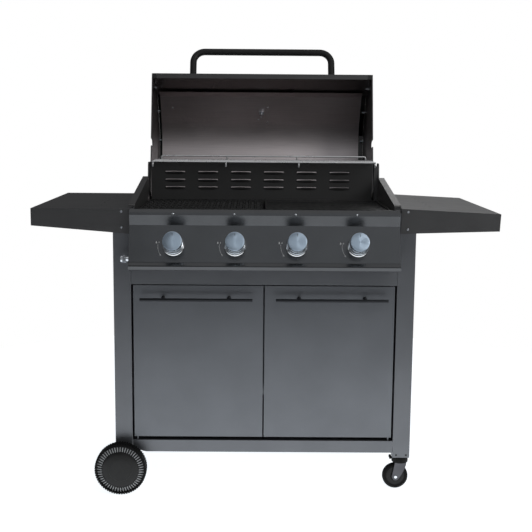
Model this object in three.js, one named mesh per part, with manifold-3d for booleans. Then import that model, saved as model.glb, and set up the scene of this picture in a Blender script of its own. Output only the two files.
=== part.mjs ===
// Gas barbecue grill on a wheeled cabinet, with its lid open.
// Millimetres, +Z up, front towards -Y. Depths are measured from the front legs' faces,
// and the last group moves the whole cart so that the origin is under its centre.
import * as THREE from "three";
import { mergeVertices } from "three/addons/utils/BufferGeometryUtils.js";
import Module from "manifold-3d";

const wasm = await Module();
wasm.setup();

const GAP = 0.3;
const SHEET = 2;

// The cart: four legs, rails between them, side panels and a floor.
const cart = {
  halfWidth: 430, depth: 570, legWide: 50, legDeep: 40, legTop: 818, casterFoot: 98, axleFoot: 50,
};
const legInner = cart.halfWidth - cart.legWide;
const railEnd = legInner - 0.5;
const topRail = { low: 609.5, high: 672 };
const bottomRail = { low: 113, high: 149 };
const rearTopRail = { low: 650, high: 690 };
const rearPanel = { low: 113, high: 600 };
const sidePanel = { outer: 427, low: 98, high: 745, flange: 14 };
const floorHeight = 135;

// The doors hang between the legs on pins at their outer corners.
const door = { low: 160, high: 607, inner: 2, outer: 374, front: -1, deep: 20 };
const doorPin = { x: 366, y: 8, radius: 3, reach: 8 };
const pull = { x0: 33, x1: 352, y: -35, z: 571, radius: 4.5, postX0: 100, postX1: 288 };

// The control panel leans back, and everything on it stands along one tilted axis.
const panel = { halfWidth: 379.5, faceTop: [-24, 782], faceLow: [-62, 685], back: 10 };
const panelTilt = Math.atan2(panel.faceTop[0] - panel.faceLow[0], panel.faceTop[1] - panel.faceLow[1]);
const stationZ = 726;
const stationY = panel.faceTop[0] - (panel.faceTop[1] - stationZ) * Math.tan(panelTilt);
const stationX = [-254.2, -82.6, 89, 260.6];

// Gas train behind the panel.
const pipe = { y: -28, z: 686, radius: 7, left: -404.5, right: 300 };
const burner = { radius: 12, z: 717, front: 0, back: 385 };

// Firebox, hung between the legs.
const box = { front: 14, back: 398, tubHalf: 367, sideInner: 368, sideOuter: 371.5, flangeOuter: 387 };
const rearWall = { front: 400.5, thick: 3, halfWidth: 354.5, baseHalf: 367, low: 700, step: 812, high: 938 };
const vents = { rows: [858, 882, 907], centre: -19.7, pitch: 105.4, columns: 6, width: 62, height: 7 };
const cooktop = { top: 822, front: 20, back: 382, outer: 365, split: 3 };
const rack = { z: 942, front: 300, back: 430, halfWidth: 347.5, wire: 2.5, guardRise: 16 };
const drip = { halfWidth: 105, front: 60, back: 400, low: 609, high: 631, lip: 9 };

// Side shelves, each a folded pan that overlaps the legs at the front and the rear.
const shelf = { inner: 380, outer: 660.5, top: 825, innerLow: 754, outerLow: 776, front: -2.3, back: 572.3 };
const shelfHoles = { x: 482, first: 130, pitch: 68, count: 6, radius: 3.5 };
const rightShelf = { droop: THREE.MathUtils.degToRad(2.7), out: 8, up: 5 };

// The lid turns about pins in the firebox's side panels, a little left of the middle.
// Its outline is given closed.
const lidHinge = { y: 410, z: 845 };
const lidOpen = THREE.MathUtils.degToRad(103.7);
const lid = { x: -5.5, halfWidth: 355.7, capThick: 3.5, skin: 2.5, hem: 16 };
const liner = { inset: 15, offset: 12, thick: 1.5 };
const lidFront = [25, 833];
const lidBend = [51, 995];
const lidShoulder = [165, 1111];
const lidRear = { cy: 382, cz: 981, radius: 130, low: 945 };
const spitSlot = { y: 251, halfWidth: 12, top: 878 };
const grip = { x: 228, along: 45, standoff: 99, radius: 11, bend: 38 };

// Wheels on the left, swivelling casters on the right.
const wheel = { radius: 75, half: 20, x: -411, y: -34 };
const axle = { radius: 5, reach: 13 };
const caster = { x: 405, y: 22, trail: 13, radius: 37.5, half: 12, stem: 5, housing: 24 };

const finishes = {
  paint: { color: 0x47494c, roughness: 0.5, metalness: 0.2 },
  panel: { color: 0x2c2d2f, roughness: 0.45, metalness: 0.2 },
  enamel: { color: 0x1c1c1d, roughness: 0.6, metalness: 0.1 },
  iron: { color: 0x151515, roughness: 0.8, metalness: 0.1 },
  steel: { color: 0xb0a8a6, roughness: 0.35, metalness: 1 },
  chrome: { color: 0xd8dce0, roughness: 0.12, metalness: 1 },
  zinc: { color: 0x9a9da3, roughness: 0.4, metalness: 0.9 },
  knob: { color: 0xa3b4c4, roughness: 0.3, metalness: 0.8 },
  brass: { color: 0xb9985a, roughness: 0.35, metalness: 1 },
  rubber: { color: 0x111111, roughness: 0.85, metalness: 0 },
};

// ---- solids ----

function toManifold(geometry) {
  const bare = geometry.clone();
  bare.deleteAttribute("normal");
  bare.deleteAttribute("uv");
  const merged = mergeVertices(bare, 1e-3);
  return new wasm.Manifold(new wasm.Mesh({
    numProp: 3,
    vertProperties: new Float32Array(merged.attributes.position.array),
    triVerts: new Uint32Array(merged.index.array),
  }));
}

function toGeometry(manifold) {
  const mesh = manifold.getMesh();
  const geometry = new THREE.BufferGeometry();
  geometry.setAttribute("position", new THREE.BufferAttribute(new Float32Array(mesh.vertProperties), 3));
  geometry.setIndex(new THREE.BufferAttribute(new Uint32Array(mesh.triVerts), 1));
  const flat = geometry.toNonIndexed();
  flat.computeVertexNormals();
  return flat;
}

function join(first, ...others) {
  let solid = toManifold(first);
  for (const other of others) {
    solid = solid.add(toManifold(other));
  }
  return toGeometry(solid);
}

function cut(base, ...tools) {
  let solid = toManifold(base);
  for (const tool of tools) {
    solid = solid.subtract(toManifold(tool));
  }
  return toGeometry(solid);
}

function block(x0, x1, y0, y1, z0, z1) {
  const geometry = new THREE.BoxGeometry(x1 - x0, y1 - y0, z1 - z0);
  return geometry.translate((x0 + x1) / 2, (y0 + y1) / 2, (z0 + z1) / 2);
}

function extrude(outline, depth, holes) {
  const shape = new THREE.Shape(outline.map(([a, b]) => new THREE.Vector2(a, b)));
  shape.holes = holes.map((hole) => new THREE.Path(hole.map(([a, b]) => new THREE.Vector2(a, b))));
  return new THREE.ExtrudeGeometry(shape, { depth, bevelEnabled: false });
}

// An outline in (Y, Z) carried along X from x0 to x1.
function sideExtrude(outline, x0, x1, holes = []) {
  const turn = new THREE.Matrix4().makeBasis(
    new THREE.Vector3(0, 1, 0), new THREE.Vector3(0, 0, 1), new THREE.Vector3(1, 0, 0));
  return extrude(outline, x1 - x0, holes).applyMatrix4(turn).translate(x0, 0, 0);
}

// An outline in (X, Z) carried along Y from y0 to y1.
function frontExtrude(outline, y0, y1, holes = []) {
  const turn = new THREE.Matrix4().makeBasis(
    new THREE.Vector3(1, 0, 0), new THREE.Vector3(0, 0, 1), new THREE.Vector3(0, -1, 0));
  return extrude(outline, y1 - y0, holes).applyMatrix4(turn).translate(0, y1, 0);
}

function arc(a, b, radius, fromDeg, toDeg, steps) {
  return Array.from({ length: steps + 1 }, (_, i) => {
    const angle = THREE.MathUtils.degToRad(fromDeg + (toDeg - fromDeg) * i / steps);
    return [a + radius * Math.cos(angle), b + radius * Math.sin(angle)];
  });
}

// The same open line moved sideways, to the right of its direction, with mitred corners.
function offsetLine(points, distance) {
  const rights = points.slice(1).map(([a, b], i) => {
    const run = new THREE.Vector2(a - points[i][0], b - points[i][1]).normalize();
    return new THREE.Vector2(run.y, -run.x);
  });
  return points.map(([a, b], i) => {
    const before = rights[Math.max(i - 1, 0)];
    const after = rights[Math.min(i, rights.length - 1)];
    const mitre = before.clone().add(after).divideScalar(1 + before.dot(after));
    return [a + mitre.x * distance, b + mitre.y * distance];
  });
}

// The outline of a folded sheet whose outer face is the open line.
function folded(points, thickness = SHEET) {
  return [...points, ...offsetLine(points, thickness).reverse()];
}

// A round bar from one point to another.
function bar(from, to, radius, sides = 12) {
  const start = new THREE.Vector3(...from);
  const run = new THREE.Vector3(...to).sub(start);
  const geometry = new THREE.CylinderGeometry(radius, radius, run.length(), sides);
  const along = run.clone().normalize();
  const turn = new THREE.Quaternion().setFromUnitVectors(new THREE.Vector3(0, 1, 0), along);
  return geometry.applyQuaternion(turn).translate(...start.addScaledVector(run, 0.5).toArray());
}

// A body turned about the local Z axis from (radius, height) points.
function turned(profile, sides) {
  const lathe = new THREE.LatheGeometry(profile.map(([r, h]) => new THREE.Vector2(r, h)), sides);
  return lathe.rotateX(Math.PI / 2);
}

function mirrorX(geometry) {
  const flipped = (geometry.index ? geometry.toNonIndexed() : geometry.clone()).scale(-1, 1, 1);
  const position = flipped.attributes.position;
  const corner = new THREE.Vector3();
  const other = new THREE.Vector3();
  for (let i = 0; i < position.count; i += 3) {
    corner.fromBufferAttribute(position, i + 1);
    other.fromBufferAttribute(position, i + 2);
    position.setXYZ(i + 1, ...other.toArray());
    position.setXYZ(i + 2, ...corner.toArray());
  }
  flipped.computeVertexNormals();
  return flipped;
}

// ---- scene helpers ----

const grill = new THREE.Group();

function place(name, geometry, finish, parent = grill) {
  const mesh = new THREE.Mesh(geometry, new THREE.MeshStandardMaterial(finishes[finish]));
  mesh.name = name;
  parent.add(mesh);
  return mesh;
}

function groupAt(x, y, z, parent = grill) {
  const group = new THREE.Group();
  group.position.set(x, y, z);
  parent.add(group);
  return group;
}

const sides = [["left", -1], ["right", 1]];

function sided(geometry, side) {
  return side < 0 ? mirrorX(geometry) : geometry;
}

// ---- cart ----

function legTube(side, y0, foot) {
  const x0 = side < 0 ? -cart.halfWidth : legInner;
  const x1 = x0 + cart.legWide;
  const y1 = y0 + cart.legDeep;
  const sole = 8;
  const outer = block(x0, x1, y0, y1, foot, cart.legTop);
  const bore = block(x0 + SHEET, x1 - SHEET, y0 + SHEET, y1 - SHEET, foot + sole, cart.legTop + 1);
  return cut(outer, bore);
}

function makeLegs() {
  const fronts = [["front", 0, caster.y], ["rear", cart.depth - cart.legDeep, cart.depth - caster.y]];
  for (const [where, y0, stemY] of fronts) {
    const axleHole = bar(
      [wheel.x, y0 - 5, wheel.radius], [wheel.x, y0 + cart.legDeep + 5, wheel.radius], 5.3);
    place(`leg_${where}_left`, cut(legTube(-1, y0, cart.axleFoot), axleHole), "paint");
    const stemHole = bar(
      [caster.x, stemY, cart.casterFoot - 5], [caster.x, stemY, cart.casterFoot + 20], 5.3);
    place(`leg_${where}_right`, cut(legTube(1, y0, cart.casterFoot), stemHole), "paint");
  }
}

// A channel between two legs, open towards the inside of the cabinet.
function channel(zone, faceY, backY) {
  const turn = faceY < backY ? 1 : -1;
  const line = [[backY, zone.low], [faceY, zone.low], [faceY, zone.high], [backY, zone.high]];
  return sideExtrude(folded(turn > 0 ? line : line.reverse()), -railEnd, railEnd);
}

function pinHoles(z) {
  return sides.map(([, side]) => {
    const x = side * doorPin.x;
    return bar([x, doorPin.y, z - 8], [x, doorPin.y, z + 8], 3.3);
  });
}

function makeRails() {
  const back = cart.depth;
  const inside = cart.depth - cart.legDeep;
  place("front_top_rail", cut(channel(topRail, 0, cart.legDeep), ...pinHoles(topRail.low)), "paint");
  const cornerCut = [
    [-railEnd - 1, 112], [-336, 112], [-350, 115], [-362, 119.5], [-372, 125], [-railEnd - 1, 134],
  ];
  const corner = frontExtrude(cornerCut, -1, cart.legDeep + 1);
  place("front_bottom_rail",
    cut(channel(bottomRail, 0, cart.legDeep), ...pinHoles(bottomRail.high), corner), "paint");
  place("rear_top_rail", channel(rearTopRail, back, inside), "paint");
  place("rear_panel", channel(rearPanel, back, inside), "paint");
}

function makeCabinet() {
  const { outer, low, high, flange } = sidePanel;
  const line = [[outer - flange, high], [outer, high], [outer, low], [outer - flange, low]];
  const sheet = frontExtrude(folded(line), cart.legDeep + GAP, cart.depth - cart.legDeep - GAP);
  for (const [name, side] of sides) {
    place(`side_panel_${name}`, sided(sheet, side), "paint");
  }
  const reach = outer - SHEET - 1;
  const floorLine = [
    [-reach, floorHeight - 18], [-reach, floorHeight], [reach, floorHeight], [reach, floorHeight - 18],
  ];
  place("cabinet_floor",
    frontExtrude(folded(floorLine), cart.legDeep + 1, cart.depth - cart.legDeep - 1), "paint");
}

// ---- doors ----

function makeDoors() {
  const width = door.outer - door.inner;
  for (const [name, side] of sides) {
    const hinge = groupAt(side * doorPin.x, doorPin.y, 0);
    // Built for the right-hand door, about its pins, with the free edge towards -X.
    const x1 = door.outer - doorPin.x;
    const x0 = x1 - width;
    const y0 = door.front - doorPin.y;
    const y1 = y0 + door.deep;
    const pan = cut(
      block(x0, x1, y0, y1, door.low, door.high),
      block(x0 + SHEET, x1 - SHEET, y0 + SHEET, y1 + 1, door.low + SHEET, door.high - SHEET));
    const pins = [[door.high - 12, door.high + doorPin.reach], [door.low - 16, door.low + 12]];
    const whole = join(pan, ...pins.map(([z0, z1]) => bar([0, 0, z0], [0, 0, z1], doorPin.radius)));
    place(`door_${name}`, sided(whole, side), "paint", hinge);
    const pullPoint = (x, y = pull.y - doorPin.y) => [x - doorPin.x, y, pull.z];
    const rod = bar(pullPoint(pull.x0), pullPoint(pull.x1), pull.radius);
    const posts = [pull.postX0, pull.postX1].map((x) => bar(pullPoint(x), pullPoint(x, y0 - GAP), 4));
    place(`door_handle_${name}`, sided(join(rod, ...posts), side), "panel", hinge);
  }
}

// ---- control panel, knobs and gas train ----

// A group whose Z axis leaves the panel square to its sloping face, with Y up the face.
function stationAt(x, parent = grill) {
  const group = groupAt(x, stationY, stationZ, parent);
  group.rotation.x = Math.PI / 2 - panelTilt;
  group.updateMatrixWorld(true);
  return group;
}

function atStation(geometry, x) {
  return geometry.rotateX(Math.PI / 2 - panelTilt).translate(x, stationY, stationZ);
}

function makePanel() {
  const line = [
    [panel.back, 826], [-18, 826], [-29, 818], [-31, 811], panel.faceTop, panel.faceLow,
    [-63, 681], [-70, 674], [-70.5, 671], [-67, 661.5], [-64, 660], [-40, 660],
  ];
  const outline = folded([...line].reverse());
  const cheek = [...line, [-40, 664], [panel.back, 690]];
  const end = panel.halfWidth;
  const shell = join(
    sideExtrude(outline, -end, end),
    sideExtrude(cheek, -end, -end + SHEET),
    sideExtrude(cheek, end - SHEET, end));
  const stemHoles = stationX.map((x) => atStation(turned([[0, -8], [9, -8], [9, 8], [0, 8]], 16), x));
  const pipeHole = bar([-end - 5, pipe.y, pipe.z], [-end + 8, pipe.y, pipe.z], pipe.radius + 1);
  place("control_panel", cut(shell, ...stemHoles, pipeHole), "panel");
}

function makeGasTrain() {
  const valveBodies = stationX.map((x) => {
    const body = block(-11, 11, -28, 17, -39, -13);
    return atStation(body, x);
  });
  const seats = stationX.map((x) => atStation(turned([[0, -29], [4.8, -29], [4.8, -10], [0, -10]], 16), x));
  const tube = bar([pipe.left, pipe.y, pipe.z], [pipe.right, pipe.y, pipe.z], pipe.radius);
  const nut = bar([pipe.left + 3, pipe.y, pipe.z], [pipe.left + 15, pipe.y, pipe.z], 10.5, 6);
  const endCap = bar([pipe.right, pipe.y, pipe.z], [pipe.right + 8, pipe.y, pipe.z], 9, 6);
  place("gas_manifold", cut(join(tube, nut, endCap, ...valveBodies), ...seats), "zinc");
}

function makeKnobs() {
  const bezelProfile = [[21, GAP], [31, GAP], [31, 6], [29, 10], [23, 11], [21, 9], [21, GAP]];
  const knobProfile = [
    [0, 46], [4.3, 46], [4.3, 17], [28.5, 17], [28.5, 21], [24, 24], [24, 31], [26, 33], [27, 36],
    [27, 57], [25.5, 59.6], [0, 60],
  ];
  stationX.forEach((x, i) => {
    const station = stationAt(x);
    place(`knob_bezel_${i + 1}`, turned(bezelProfile, 24), "chrome", station);
    place(`valve_stem_${i + 1}`, turned([[0, -22], [4, -22], [4, 44], [0, 44]], 16), "brass", station);
    const dial = turned(knobProfile, 24);
    const mark = block(-1, 1, 12, 22, 59, 60.8);
    place(`knob_${i + 1}`, join(dial, mark), "knob", station);
  });
}

// ---- firebox ----

function makeFirebox() {
  const { front, back, tubHalf, sideInner, sideOuter, flangeOuter } = box;
  const tubLine = [[front, 820], [front, 700], [170, 655], [250, 655], [back, 700]];
  const tub = sideExtrude(folded([...tubLine].reverse()), -tubHalf, tubHalf);
  const ports = stationX.map((x) =>
    bar([x, front - 5, burner.z], [x, front + 5, burner.z], burner.radius + 0.7));
  const dripSlot = block(-90, 90, 180, 240, 640, 670);
  const runnerOutline = [[60, 627], [60, 687.5], [170, 656], [250, 656], [380, 694], [380, 627]];
  const runners = sides.flatMap(([, side]) => [
    sided(sideExtrude(runnerOutline, 116.5, 119), side),
    sided(block(107, 118, drip.front, 380, 627, 629), side),
  ]);
  place("firebox_tub", cut(join(tub, ...runners), dripSlot, ...ports), "enamel");

  const rim = [[front, 834], [20, 838], [284, 876], [back, 893]];
  const ear = [[404, 926], ...arc(416, 926, 12, 150, 90, 3), ...arc(434, 926, 12, 90, 0, 4)];
  const plate = sideExtrude(
    [[45, 655], [45, 676], [front, 676], ...rim, ...ear, [446, 655]], sideInner, sideOuter,
    [arc(lidHinge.y, lidHinge.z, 4.4, 0, 360, 16).slice(0, -1)]);
  const flange = sideExtrude(folded(rim), sideOuter - 1, flangeOuter);
  for (const [name, side] of sides) {
    const guardInner = lid.halfWidth + GAP + lid.capThick + 1.5 + side * lid.x;
    const guard = block(guardInner, sideInner + 1, 404.3, 405.7, 815, 930);
    place(`firebox_side_${name}`, sided(join(plate, flange, guard), side), "enamel");
  }
}

function makeRearWall() {
  const { front, thick, halfWidth, baseHalf, low, step, high } = rearWall;
  const outline = [
    [-baseHalf, low], [baseHalf, low], [baseHalf, step], [lid.x + halfWidth, step],
    [lid.x + halfWidth, high], [lid.x - halfWidth, high], [lid.x - halfWidth, step], [-baseHalf, step],
  ];
  const slots = vents.rows.flatMap((z) => Array.from({ length: vents.columns }, (_, i) => {
    const x = vents.centre + (i - (vents.columns - 1) / 2) * vents.pitch;
    const { width, height } = vents;
    return block(x - width / 2, x + width / 2, front - 1, front + thick + 1, z - height / 2, z + height / 2);
  }));
  place("rear_vent_wall", cut(frontExtrude(outline, front, front + thick), ...slots), "enamel");
}

function makeCooktop() {
  const { top, front, back, outer, split } = cooktop;
  const columns = 20;
  const rows = 6;
  const rim = 9;
  const web = 6;
  const pitchX = (outer - split - 2 * rim + web) / columns;
  const pitchY = (back - front - 2 * rim + web) / rows;
  const slots = [];
  for (let i = 0; i < columns; i += 1) {
    for (let j = 0; j < rows; j += 1) {
      const x = -outer + rim + i * pitchX;
      const y = front + rim + j * pitchY;
      slots.push(block(x, x + pitchX - web, y, y + pitchY - web, top - 15, top + 1));
    }
  }
  place("cooking_grate", cut(block(-outer, -split, front, back, top - 14, top), ...slots), "iron");
  const plate = block(split, outer, front, back, top - 14, top);
  const recess = block(split + 6, outer - 6, front + 6, back - 6, top - 6, top + 1);
  place("griddle_plate", cut(plate, recess), "iron");
}

function makeBurners() {
  const { radius, z, front, back } = burner;
  const length = back - front;
  const bore = radius - 1.5;
  const profile = [[0, -2], [bore, -2], [bore, -length], [radius, -length], [radius, 0], [0, 0]];
  stationX.forEach((x, i) => {
    const tube = turned(profile, 16).rotateX(-Math.PI / 2).translate(x, back, z);
    place(`burner_${i + 1}`, tube, "steel");
  });
  const roof = [[-150, 746], [-86, 776], [-22, 746], [22, 746], [86, 776], [150, 746]];
  for (const [name, side] of sides) {
    const tent = frontExtrude(folded(roof), 30, 380).translate(side * 171.6, 0, 0);
    place(`flame_tamer_${name}`, tent, "steel");
  }
}

function makeRack() {
  const { z, front, back, halfWidth, wire, guardRise } = rack;
  const crossX = [-halfWidth + wire, -118, 118, halfWidth - wire];
  const along = [front, front + 26, front + 52, front + 78, front + 104, back].map((y) =>
    bar([-halfWidth, y, z + wire], [halfWidth, y, z + wire], wire, 6));
  const cross = crossX.map((x) => bar([x, front - 4, z], [x, back + 4, z], wire, 6));
  const feet = crossX.map((x) => bar([x, front - 2, z + 1], [x, front - 2, z - 12], wire, 6));
  const guard = bar([-halfWidth, back, z + guardRise], [halfWidth, back, z + guardRise], wire, 6);
  const posts = crossX.map((x) => bar([x, back, z - 1], [x, back, z + guardRise], wire, 6));
  place("warming_rack", join(...along, ...cross, ...feet, guard, ...posts), "chrome");
}

function makeDripTray() {
  const { halfWidth, front, back, low, high, lip } = drip;
  const body = join(
    block(-halfWidth, halfWidth, front, back, low, high),
    block(-halfWidth - lip, halfWidth + lip, front, back, high - 1.5, high));
  const inside = block(-halfWidth + 1.5, halfWidth - 1.5, front + 1.5, back - 1.5, low + 1.5, high + 1);
  place("drip_tray", cut(body, inside), "steel");
}

// ---- shelves ----

function makeShelves() {
  const { inner, outer, top, innerLow, outerLow, front, back } = shelf;
  const elbow = cart.halfWidth;
  const shape = [[inner, top], [inner, innerLow], [elbow, innerLow + 4], [outer, outerLow], [outer, top]];
  const hollow = [
    [inner - 1, top - SHEET], [inner - 1, innerLow - 10],
    [outer - SHEET, innerLow - 10], [outer - SHEET, top - SHEET],
  ];
  const holes = Array.from({ length: shelfHoles.count }, (_, i) => {
    const y = shelfHoles.first + i * shelfHoles.pitch;
    return bar([shelfHoles.x, y, top - 5], [shelfHoles.x, y, top + 5], shelfHoles.radius, 8);
  });
  const pan = cut(
    frontExtrude(shape, front, back), frontExtrude(hollow, front + SHEET, back - SHEET), ...holes);
  for (const [name, side] of sides) {
    const { droop, out, up } = side > 0 ? rightShelf : { droop: 0, out: 0, up: 0 };
    const root = groupAt(side * inner + out, 0, top + up);
    root.rotation.y = droop;
    place(`side_shelf_${name}`, sided(pan.clone().translate(-inner, 0, -top), side), "paint", root);
  }
}

// ---- lid ----

function makeLid() {
  const group = groupAt(lid.x, lidHinge.y, lidHinge.z);
  group.rotation.x = -lidOpen;
  const relative = (points) => points.map(([y, z]) => [y - lidHinge.y, z - lidHinge.z]);
  const rear = arc(lidRear.cy, lidRear.cz, lidRear.radius, 90, 0, 8);
  const rearEdge = [lidRear.cy + lidRear.radius, lidRear.low];
  const shell = [lidFront, lidBend, lidShoulder, ...rear, rearEdge];
  const { halfWidth, skin } = lid;

  const [bendToShoulderY, bendToShoulderZ] = [lidShoulder[0] - lidBend[0], lidShoulder[1] - lidBend[1]];
  const shoulderRun = new THREE.Vector2(bendToShoulderY, bendToShoulderZ).normalize();
  const gaugeY = lidBend[0] + 60 * shoulderRun.x - lidHinge.y;
  const gaugeZ = lidBend[1] + 60 * shoulderRun.y - lidHinge.z;
  const gaugeTurn = Math.atan2(shoulderRun.y, shoulderRun.x);
  const onGauge = (geometry) => geometry.rotateX(gaugeTurn).translate(0, gaugeY, gaugeZ);
  const gaugeHole = () => onGauge(bar([0, 0, -40], [0, 0, 20], 5.2));

  const hemmed = relative([[lidFront[0] + lid.hem, lidFront[1]], ...shell]);
  const sheet = sideExtrude(folded(hemmed, skin), -halfWidth, halfWidth);
  place("lid_skin", cut(sheet, gaugeHole()), "paint", group);
  const linerLine = offsetLine(relative([lidBend, lidShoulder, ...rear, rearEdge]), liner.offset);
  const linerEnd = halfWidth - liner.inset;
  const lining = sideExtrude(folded(linerLine, liner.thick), -linerEnd, linerEnd);
  place("lid_liner", cut(lining, gaugeHole()), "steel", group);

  const gauge = turned([
    [0, -34], [3, -34], [3, -22], [9, -22], [9, -15], [4.8, -15], [4.8, GAP],
    [30, GAP], [30, 9], [27, 11], [0, 11],
  ], 24);
  place("thermometer", onGauge(gauge), "chrome", group);

  const slot = [
    [spitSlot.y + spitSlot.halfWidth, lidFront[1]],
    ...arc(spitSlot.y, spitSlot.top - spitSlot.halfWidth, spitSlot.halfWidth, 0, 180, 8),
    [spitSlot.y - spitSlot.halfWidth, lidFront[1]],
  ];
  const knuckle = arc(lidHinge.y, lidHinge.z, 16, 30, -131, 8);
  const capOutline = relative([...shell, [440, 862], ...knuckle, ...slot]);
  const inner = halfWidth + GAP;
  const plate = sideExtrude(capOutline, inner, inner + lid.capThick);
  const pin = bar([inner + 1, 0, 0], [box.sideOuter + 6, 0, 0], 4, 16);
  const cap = join(plate, pin);
  for (const [name, side] of sides) {
    place(`lid_cap_${name}`, sided(cap, side), "paint", group);
  }
  makeLidHandle(group);
}

function makeLidHandle(group) {
  const run = new THREE.Vector2(lidBend[0] - lidFront[0], lidBend[1] - lidFront[1]).normalize();
  const out = new THREE.Vector2(-run.y, run.x);
  const point = (x, away) => new THREE.Vector3(
    x,
    lidFront[0] + run.x * grip.along + out.x * away - lidHinge.y,
    lidFront[1] + run.y * grip.along + out.y * away - lidHinge.z);
  const { x, standoff, radius, bend } = grip;
  const sectionPoints = arc(0, 0, radius, 0, 360, 12).slice(0, -1);
  const section = new THREE.Shape(sectionPoints.map(([a, b]) => new THREE.Vector2(a, b)));
  const bends = sides.map(([, side]) => new THREE.ExtrudeGeometry(section, {
    extrudePath: new THREE.QuadraticBezierCurve3(
      point(side * x, standoff - bend - 1),
      point(side * x, standoff),
      point(side * (x - bend - 1), standoff)),
    steps: 7,
    bevelEnabled: false,
  }));
  const straight = (from, to) => bar(from.toArray(), to.toArray(), radius);
  const legs = sides.map(([, side]) => straight(point(side * x, GAP), point(side * x, standoff - bend)));
  const rail = straight(point(-x + bend, standoff), point(x - bend, standoff));
  place("lid_handle", join(rail, ...legs, ...bends), "paint", group);
}

// ---- wheels and casters ----

function makeWheels() {
  const { radius, half, x, y } = wheel;
  const profile = [
    [0, -half - 1], [30, -half], [53, -half + 4], [54, -half + 9], [67, -half + 9], [68, -half + 1],
    [radius, -half + 9], [radius, half - 9], [68, half - 1], [64, half - 9],
    [20, half - 9], [18, half], [5.4, half], [5.4, -13.5], [0, -13.5],
  ];
  const tyre = new THREE.LatheGeometry(profile.map(([r, h]) => new THREE.Vector2(r, h)), 32);
  const spots = [["front", y, 0], ["rear", cart.depth - y, Math.PI]];
  for (const [where, centreY, turn] of spots) {
    const hub = groupAt(x, centreY, radius);
    hub.rotation.z = turn;
    place(`wheel_${where}`, tyre, "rubber", hub);
  }
  const rod = bar([x, y - axle.reach, radius], [x, cart.depth - y + axle.reach, radius], axle.radius, 16);
  place("wheel_axle", rod, "zinc");
}

function makeCasters() {
  const spots = [["front", caster.y], ["rear", cart.depth - caster.y]];
  const { trail, radius, half, stem } = caster;
  const cheekOutline = [[-14, 84], [18, 84], [16, 66], [-trail + 9, 32], [-trail - 9, 32], [-trail - 8, 52]];
  const wheelProfile = [
    [4.3, -half], [12, -half], [14, -half + 3], [26, -half + 3], [28, -half], [radius, -half + 5],
    [radius, half - 5], [28, half], [26, half - 3], [14, half - 3], [12, half], [4.3, half], [4.3, -half],
  ];
  for (const [where, y] of spots) {
    const pivot = groupAt(caster.x, y, 0);
    const fork = join(
      bar([0, 0, 90], [0, 0, cart.casterFoot + 14], stem - 0.3, 16),
      bar([0, 0, 83], [0, 0, cart.casterFoot - GAP], caster.housing, 24),
      frontExtrude(cheekOutline, -half - 5, -half - 2),
      frontExtrude(cheekOutline, half + 2, half + 5),
      bar([-trail, -half - 7, radius], [-trail, half + 7, radius], 4, 16));
    place(`caster_fork_${where}`, fork, "zinc", pivot);
    const tyre = new THREE.LatheGeometry(wheelProfile.map(([r, h]) => new THREE.Vector2(r, h)), 24);
    place(`caster_wheel_${where}`, tyre.translate(-trail, 0, radius), "rubber", pivot);
    const pedal = frontExtrude([[-36, 90], [-25, 92.5], [-25, 97.5], [-33, 97.5], [-36.5, 95]], -12, 12);
    place(`caster_brake_${where}`, pedal, "rubber", pivot);
  }
}

makeLegs();
makeRails();
makeCabinet();
makeDoors();
makePanel();
makeGasTrain();
makeKnobs();
makeFirebox();
makeRearWall();
makeCooktop();
makeBurners();
makeRack();
makeDripTray();
makeShelves();
makeLid();
makeWheels();
makeCasters();

// The origin is on the ground, under the middle of the whole outline.
const bounds = new THREE.Box3().setFromObject(grill, true);
const centre = bounds.getCenter(new THREE.Vector3());
grill.position.set(-centre.x, -centre.y, -bounds.min.z);

const assembly = new THREE.Group();
assembly.add(grill);
assembly.updateMatrixWorld(true);

export default assembly;
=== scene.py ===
"""Looks of a gas barbecue grill on a wheeled cabinet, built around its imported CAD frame."""
import math

import bmesh
import bpy
from mathutils import Matrix, Vector


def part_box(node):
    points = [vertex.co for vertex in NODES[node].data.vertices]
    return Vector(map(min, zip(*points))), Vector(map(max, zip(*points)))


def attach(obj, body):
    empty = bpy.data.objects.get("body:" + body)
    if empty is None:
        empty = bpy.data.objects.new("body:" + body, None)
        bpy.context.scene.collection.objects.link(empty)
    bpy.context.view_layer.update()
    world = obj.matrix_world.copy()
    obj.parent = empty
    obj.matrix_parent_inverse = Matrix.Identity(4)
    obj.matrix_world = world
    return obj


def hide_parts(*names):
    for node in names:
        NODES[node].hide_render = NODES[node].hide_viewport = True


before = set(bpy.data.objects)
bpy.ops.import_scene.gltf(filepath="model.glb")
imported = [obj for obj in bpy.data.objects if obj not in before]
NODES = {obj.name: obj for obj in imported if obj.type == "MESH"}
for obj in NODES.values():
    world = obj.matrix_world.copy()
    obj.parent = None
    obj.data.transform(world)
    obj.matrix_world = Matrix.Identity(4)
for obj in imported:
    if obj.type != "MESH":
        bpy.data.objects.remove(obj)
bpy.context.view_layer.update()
MM = 0.001

# The cart's own axes: X from the middle of the legs, Y from the front legs' faces, Z from the ground.
# The shapes' lengths are in millimetres along them.
LEG_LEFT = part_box("leg_front_left")
LEG_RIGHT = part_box("leg_front_right")
ORIGIN = Vector(((LEG_LEFT[0].x + LEG_RIGHT[1].x) / 2, LEG_LEFT[0].y, 0.0))

# The control panel's sloping face comes forward by 38 over a height of 97, and holds the knobs' stations.
PANEL_TOP_Y, PANEL_TOP_Z = -24, 782
PANEL_TILT = math.atan2(38, 97)
STATION_Z = 726
STATION_Y = PANEL_TOP_Y - (PANEL_TOP_Z - STATION_Z) * math.tan(PANEL_TILT)
STATION_X = (-254.2, -82.6, 89, 260.6)
SCREW_X = (-257.4, -85.8, 85.8, 257.4)

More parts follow.
